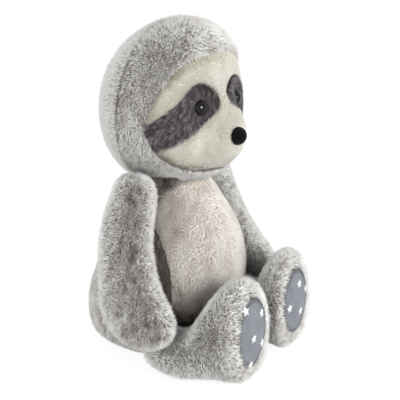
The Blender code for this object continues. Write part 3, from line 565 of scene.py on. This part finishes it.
# Eyes
# Safety eyes: domed buttons, injection moulded in black acrylic and polished, on a stem through the plush.
# The polish leaves a clear highlight, and faint wear makes it a little uneven.
EYE_VOXEL = 0.0004
gloss, tree, shader = finish_of("polished_black_acrylic", IOR=1.49, Specular_IOR_Level=0.3)
spot = node(tree, "ShaderNodeTexCoord").outputs["Object"]
haze = node(tree, "ShaderNodeTexNoise", {"Vector": spot, "Scale": 900.0, "Detail": 3.0}).outputs[0]
shade = node(tree, "ShaderNodeValToRGB", {"Fac": haze}, stops=((0.3, "#020202"), (0.7, "#050505")))
dull = node(tree, "ShaderNodeMapRange", {"Value": haze, "To Min": 0.02, "To Max": 0.06}).outputs[0]
tree.links.new(shade.outputs["Color"], shader.inputs["Base Color"])
tree.links.new(dull, shader.inputs["Roughness"])
for name in ("eye_left", "eye_right"):
    dome = plump([name], name + "_dome", EYE_VOXEL, rounds=10)
    dome.data.materials.append(gloss)
    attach(dome, "head")
    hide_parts(name)

# Nose
# A moulded button like the eyes, on a stem through the muzzle. It is flocked with black nylon dust of
# about 0.4 mm, which takes off all gloss.
NOSE_VOXEL = 0.0005
flock, tree, shader = finish_of("black_nylon_flock", Roughness=1.0, Sheen_Weight=0.05,
                                Specular_IOR_Level=0.05)
spot = node(tree, "ShaderNodeTexCoord").outputs["Object"]
dust = node(tree, "ShaderNodeTexNoise", {"Vector": spot, "Scale": 2400.0, "Detail": 2.0}).outputs[0]
shade = node(tree, "ShaderNodeValToRGB", {"Fac": dust}, stops=((0.35, "#020202"), (0.7, "#121111")))
bump = node(tree, "ShaderNodeBump", {"Height": dust, "Distance": 0.0004, "Strength": 0.8})
tree.links.new(shade.outputs["Color"], shader.inputs["Base Color"])
tree.links.new(bump.outputs["Normal"], shader.inputs["Normal"])
button = plump(["nose"], "nose_button", NOSE_VOXEL, rounds=8)
button.data.materials.append(flock)
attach(button, "head")
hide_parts("nose")

# Arms
# Each arm is a tube of the grey plush, closed at the hand, stuffed and sewn into the shoulder. Its pile is
# darker down its outer front.
for side, name in ((1, "arm_left"), (-1, "arm_right")):
    backings, form = backings_of(name + "_form", {name: FUR_DEPTH}, ["arm_stuffing_" + name[4:]])
    plush(name, backings[name], form, solids_off(name), grey_plush, "grey_fur", (0.15 * side, -0.2, -1),
          Seed=41, shade=lambda p, way: 0.15 - 0.35 * max(0, 0.8 * side * way.x - 0.6 * way.y) ** 4,
          Streaks=1.8, Ruffle=1.3, Lean=0.3, **{"Streak Size": 0.005, "Clump Size": 0.004})

# Legs
# Each short leg is a tube of the grey plush, stuffed and sewn into the body, that opens into an upright
# sole. Its pile hangs over the sole's edge.
SOLE_DEPTH = 0.0010
for name in ("leg_left", "leg_right"):
    sole = "foot_pad_" + name[4:]
    backings, form = backings_of(name + "_form", {name: FUR_DEPTH, sole: SOLE_DEPTH},
                                 ["leg_stuffing_" + name[4:]])
    plush(name, backings[name], form, solids_off(name), grey_plush, "grey_fur", (0, -0.6, 0.5),
          shade=lambda p, way: 0.15, seams={sole: -0.8}, Seed=51, Streaks=1.5, Ruffle=1.3)
    bpy.data.objects.remove(backings[sole])

# Soles
# An oval of smooth grey cloth, printed with small pale stars, is sewn into the front of each foot. It is
# slightly crowned, and puckered at its seam. The weave is drawn at 1 mm, coarser than real, to show.
SOLE_VOXEL, SOLE_CROWN = 0.0009, 0.0012
PUCKER_DEPTH, PUCKERS, PUCKER_FROM_SHARE = 0.0003, 44, 0.75
STAR_REACH, STAR_WAIST, STAR_BLUR = 0.0042, 0.0019, 1e-4
HALF_POINT = math.pi / 5
star_slope = (STAR_WAIST * math.sin(HALF_POINT), STAR_REACH - STAR_WAIST * math.cos(HALF_POINT))
star_side = math.hypot(*star_slope)
star_edge = STAR_REACH * star_slope[0] / star_side
star_places = {"foot_pad_left": ((0.0395, 0.0576), (0.0234, 0.0407), (0.0430, 0.0312), (0.0532, 0.0480)),
               "foot_pad_right": ((-0.0454, 0.0650), (-0.0232, 0.0555), (-0.0366, 0.0388),
                                  (-0.0217, 0.0289), (-0.0386, 0.0165))}
for sole, places in star_places.items():
    low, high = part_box(sole)
    middle, wide, tall = (low + high) / 2, high.x - low.x, high.z - low.z
    pad = plump([sole], sole + "_cloth", SOLE_VOXEL, rounds=4)
    chart = pad.data.uv_layers.new(name="OFBake")
    for loop in pad.data.loops:
        at = pad.data.vertices[loop.vertex_index].co
        chart.data[loop.index].uv = ((at.x - low.x) / wide, (at.z - low.z) / tall)
    for corner in pad.data.vertices:
        across, up = (corner.co.x - middle.x) / wide * 2, (corner.co.z - middle.z) / tall * 2
        out, round_it = math.hypot(across, up), math.atan2(up, across)
        rim = max(0, out - PUCKER_FROM_SHARE) / (1 - PUCKER_FROM_SHARE)
        corner.co.y -= SOLE_CROWN * max(0, 1 - out * out) - PUCKER_DEPTH * math.cos(PUCKERS * round_it) * rim

    cloth, tree, shader = finish_of("printed_sole_cloth_" + sole[9:], Roughness=0.62, Sheen_Weight=0.1)
    spot = node(tree, "ShaderNodeUVMap", uv_map="OFBake").outputs["UV"]
    spot = node(tree, "ShaderNodeVectorMath", {0: spot, 1: (wide, tall, 0)}, operation="MULTIPLY").outputs[0]
    threads = {"Vector": spot, "Scale": 314.0, "Distortion": 0.4}
    warp = node(tree, "ShaderNodeTexWave", threads).outputs["Fac"]
    weft = node(tree, "ShaderNodeTexWave", threads, bands_direction="Y").outputs["Fac"]
    weave = node(tree, "ShaderNodeMath", {0: warp, 1: weft}, operation="MULTIPLY").outputs[0]
    faded = node(tree, "ShaderNodeTexNoise", {"Vector": spot, "Scale": 70.0, "Detail": 3.0}).outputs[0]
    tone = node(tree, "ShaderNodeMath", {0: weave, 1: 0.35, 2: faded}, operation="MULTIPLY_ADD").outputs[0]
    ground = node(tree, "ShaderNodeValToRGB", {"Fac": tone},
                  stops=((0.3, "#585C62"), (0.9, "#73767D"))).outputs["Color"]

    # Each place round a star is mapped onto half of one of its points, whose side is a straight line.
    ink = 0.0
    for across, up in places:
        local = node(tree, "ShaderNodeVectorMath", {0: spot, 1: (across - low.x, up - low.z, 0)},
                     operation="SUBTRACT").outputs[0]
        part = node(tree, "ShaderNodeSeparateXYZ", {0: local}).outputs
        reach = node(tree, "ShaderNodeVectorMath", {0: local}, operation="LENGTH").outputs["Value"]
        angle = node(tree, "ShaderNodeMath", {0: part["X"], 1: part["Y"]}, operation="ARCTAN2").outputs[0]
        fold = node(tree, "ShaderNodeMath", {0: angle, 1: HALF_POINT}, operation="PINGPONG").outputs[0]
        run = node(tree, "ShaderNodeMath", {0: fold}, operation="COSINE").outputs[0]
        lift = node(tree, "ShaderNodeMath", {0: fold}, operation="SINE").outputs[0]
        run = node(tree, "ShaderNodeMath", {0: run, 1: star_slope[0] / star_side},
                   operation="MULTIPLY").outputs[0]
        edge = node(tree, "ShaderNodeMath", {0: lift, 1: star_slope[1] / star_side, 2: run},
                    operation="MULTIPLY_ADD").outputs[0]
        edge = node(tree, "ShaderNodeMath", {0: edge, 1: reach}, operation="MULTIPLY").outputs[0]
        mark = node(tree, "ShaderNodeMapRange", {"Value": edge, "From Min": star_edge + STAR_BLUR,
                                                 "From Max": star_edge - STAR_BLUR}).outputs[0]
        ink = node(tree, "ShaderNodeMath", {0: ink, 1: mark}, operation="MAXIMUM").outputs[0]

    # Painted shade: the ground darkens into the seam, where the fur that hangs over it shades it.
    from_middle = node(tree, "ShaderNodeVectorMath", {0: spot, 1: (wide / 2, tall / 2, 0)},
                       operation="SUBTRACT").outputs[0]
    from_middle = node(tree, "ShaderNodeVectorMath", {0: from_middle, 1: (2 / wide, 2 / tall, 0)},
                       operation="MULTIPLY").outputs[0]
    out = node(tree, "ShaderNodeVectorMath", {0: from_middle}, operation="LENGTH").outputs["Value"]
    seam = node(tree, "ShaderNodeMapRange", {"Value": out, "From Min": 0.80, "From Max": 0.93,
                                             "To Min": 1.0, "To Max": 0.35}).outputs[0]
    ground = node(tree, "ShaderNodeVectorMath", {0: ground, "Scale": seam}, operation="SCALE").outputs[0]
    printed = node(tree, "ShaderNodeMix", {0: ink, 6: ground, 7: colour("#D6D8DA")},
                   data_type="RGBA").outputs[2]
    bump = node(tree, "ShaderNodeBump", {"Height": weave, "Distance": 0.0002, "Strength": 0.4})
    tree.links.new(printed, shader.inputs["Base Color"])
    tree.links.new(bump.outputs["Normal"], shader.inputs["Normal"])
    pad.data.materials.append(cloth)
    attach(pad, BODY_OF[sole])
    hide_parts(sole)

# Floor and light
# A white table top runs on without an edge, in the light of a pale room. One soft lamp stands in front of
# the toy, a weaker one at its right side, and a third hangs behind and above it.
FLOOR_HALF_SIZE, FLOOR_GLOW, GLOW_SHARE = 8, 1.03, 0.9
ROOM_LIGHT, BACKDROP = 0.82, 1.0
LAMP_DISTANCE, LAMP_TARGET = 1.2, Vector((0, 0, 0.12))
paper, tree, shader = finish_of("white_paper", Roughness=0.9)
shader.inputs["Base Color"].default_value = colour("#F4F4F4")
glow = node(tree, "ShaderNodeEmission", {"Strength": FLOOR_GLOW})
ray = node(tree, "ShaderNodeLightPath").outputs
seen = node(tree, "ShaderNodeMath", {0: ray["Is Camera Ray"], 1: ray["Is Glossy Ray"]},
            operation="MAXIMUM").outputs[0]
seen = node(tree, "ShaderNodeMath", {0: seen, 1: ray["Is Transmission Ray"]}, operation="MAXIMUM").outputs[0]
seen = node(tree, "ShaderNodeMath", {0: seen, 1: GLOW_SHARE}, operation="MULTIPLY").outputs[0]
blend = node(tree, "ShaderNodeMixShader", {0: seen, 1: shader.outputs[0], 2: glow.outputs[0]})
tree.links.new(blend.outputs[0], tree.nodes["Material Output"].inputs["Surface"])
sheet = bmesh.new()
bmesh.ops.create_grid(sheet, x_segments=1, y_segments=1, size=FLOOR_HALF_SIZE)
mesh = bpy.data.meshes.new("floor")
sheet.to_mesh(mesh)
sheet.free()
floor = bpy.data.objects.new("floor", mesh)
floor.data.materials.append(paper)
scene.collection.objects.link(floor)

world = bpy.data.worlds.new("room")
scene.world = world
world.use_nodes = True
tree = world.node_tree
room = tree.nodes["Background"]
room.inputs["Color"].default_value = (1, 1, 1, 1)
room.inputs["Strength"].default_value = ROOM_LIGHT
bright = node(tree, "ShaderNodeBackground", {"Color": (1, 1, 1, 1), "Strength": BACKDROP})
ray = node(tree, "ShaderNodeLightPath").outputs
seen = node(tree, "ShaderNodeMath", {0: ray["Is Camera Ray"], 1: ray["Is Transmission Ray"]},
            operation="MAXIMUM").outputs[0]
blend = node(tree, "ShaderNodeMixShader", {0: seen, 1: room.outputs[0], 2: bright.outputs[0]})
tree.links.new(blend.outputs[0], tree.nodes["World Output"].inputs["Surface"])

for label, turn, rise, power, size in (("front_lamp", -12, 20, 11.5, 0.45), ("left_lamp", -105, 10, 7, 0.8),
                                       ("top_lamp", 150, 60, 4, 0.9)):
    lamp = bpy.data.objects.new(label, bpy.data.lights.new(label, "AREA"))
    lamp.data.energy, lamp.data.size = power, size
    way = direction(math.radians(turn), math.radians(rise))
    lamp.location = LAMP_TARGET + LAMP_DISTANCE * way
    lamp.rotation_euler = way.to_track_quat("Z", "Y").to_euler()
    scene.collection.objects.link(lamp)

scene.view_settings.view_transform = "Standard"
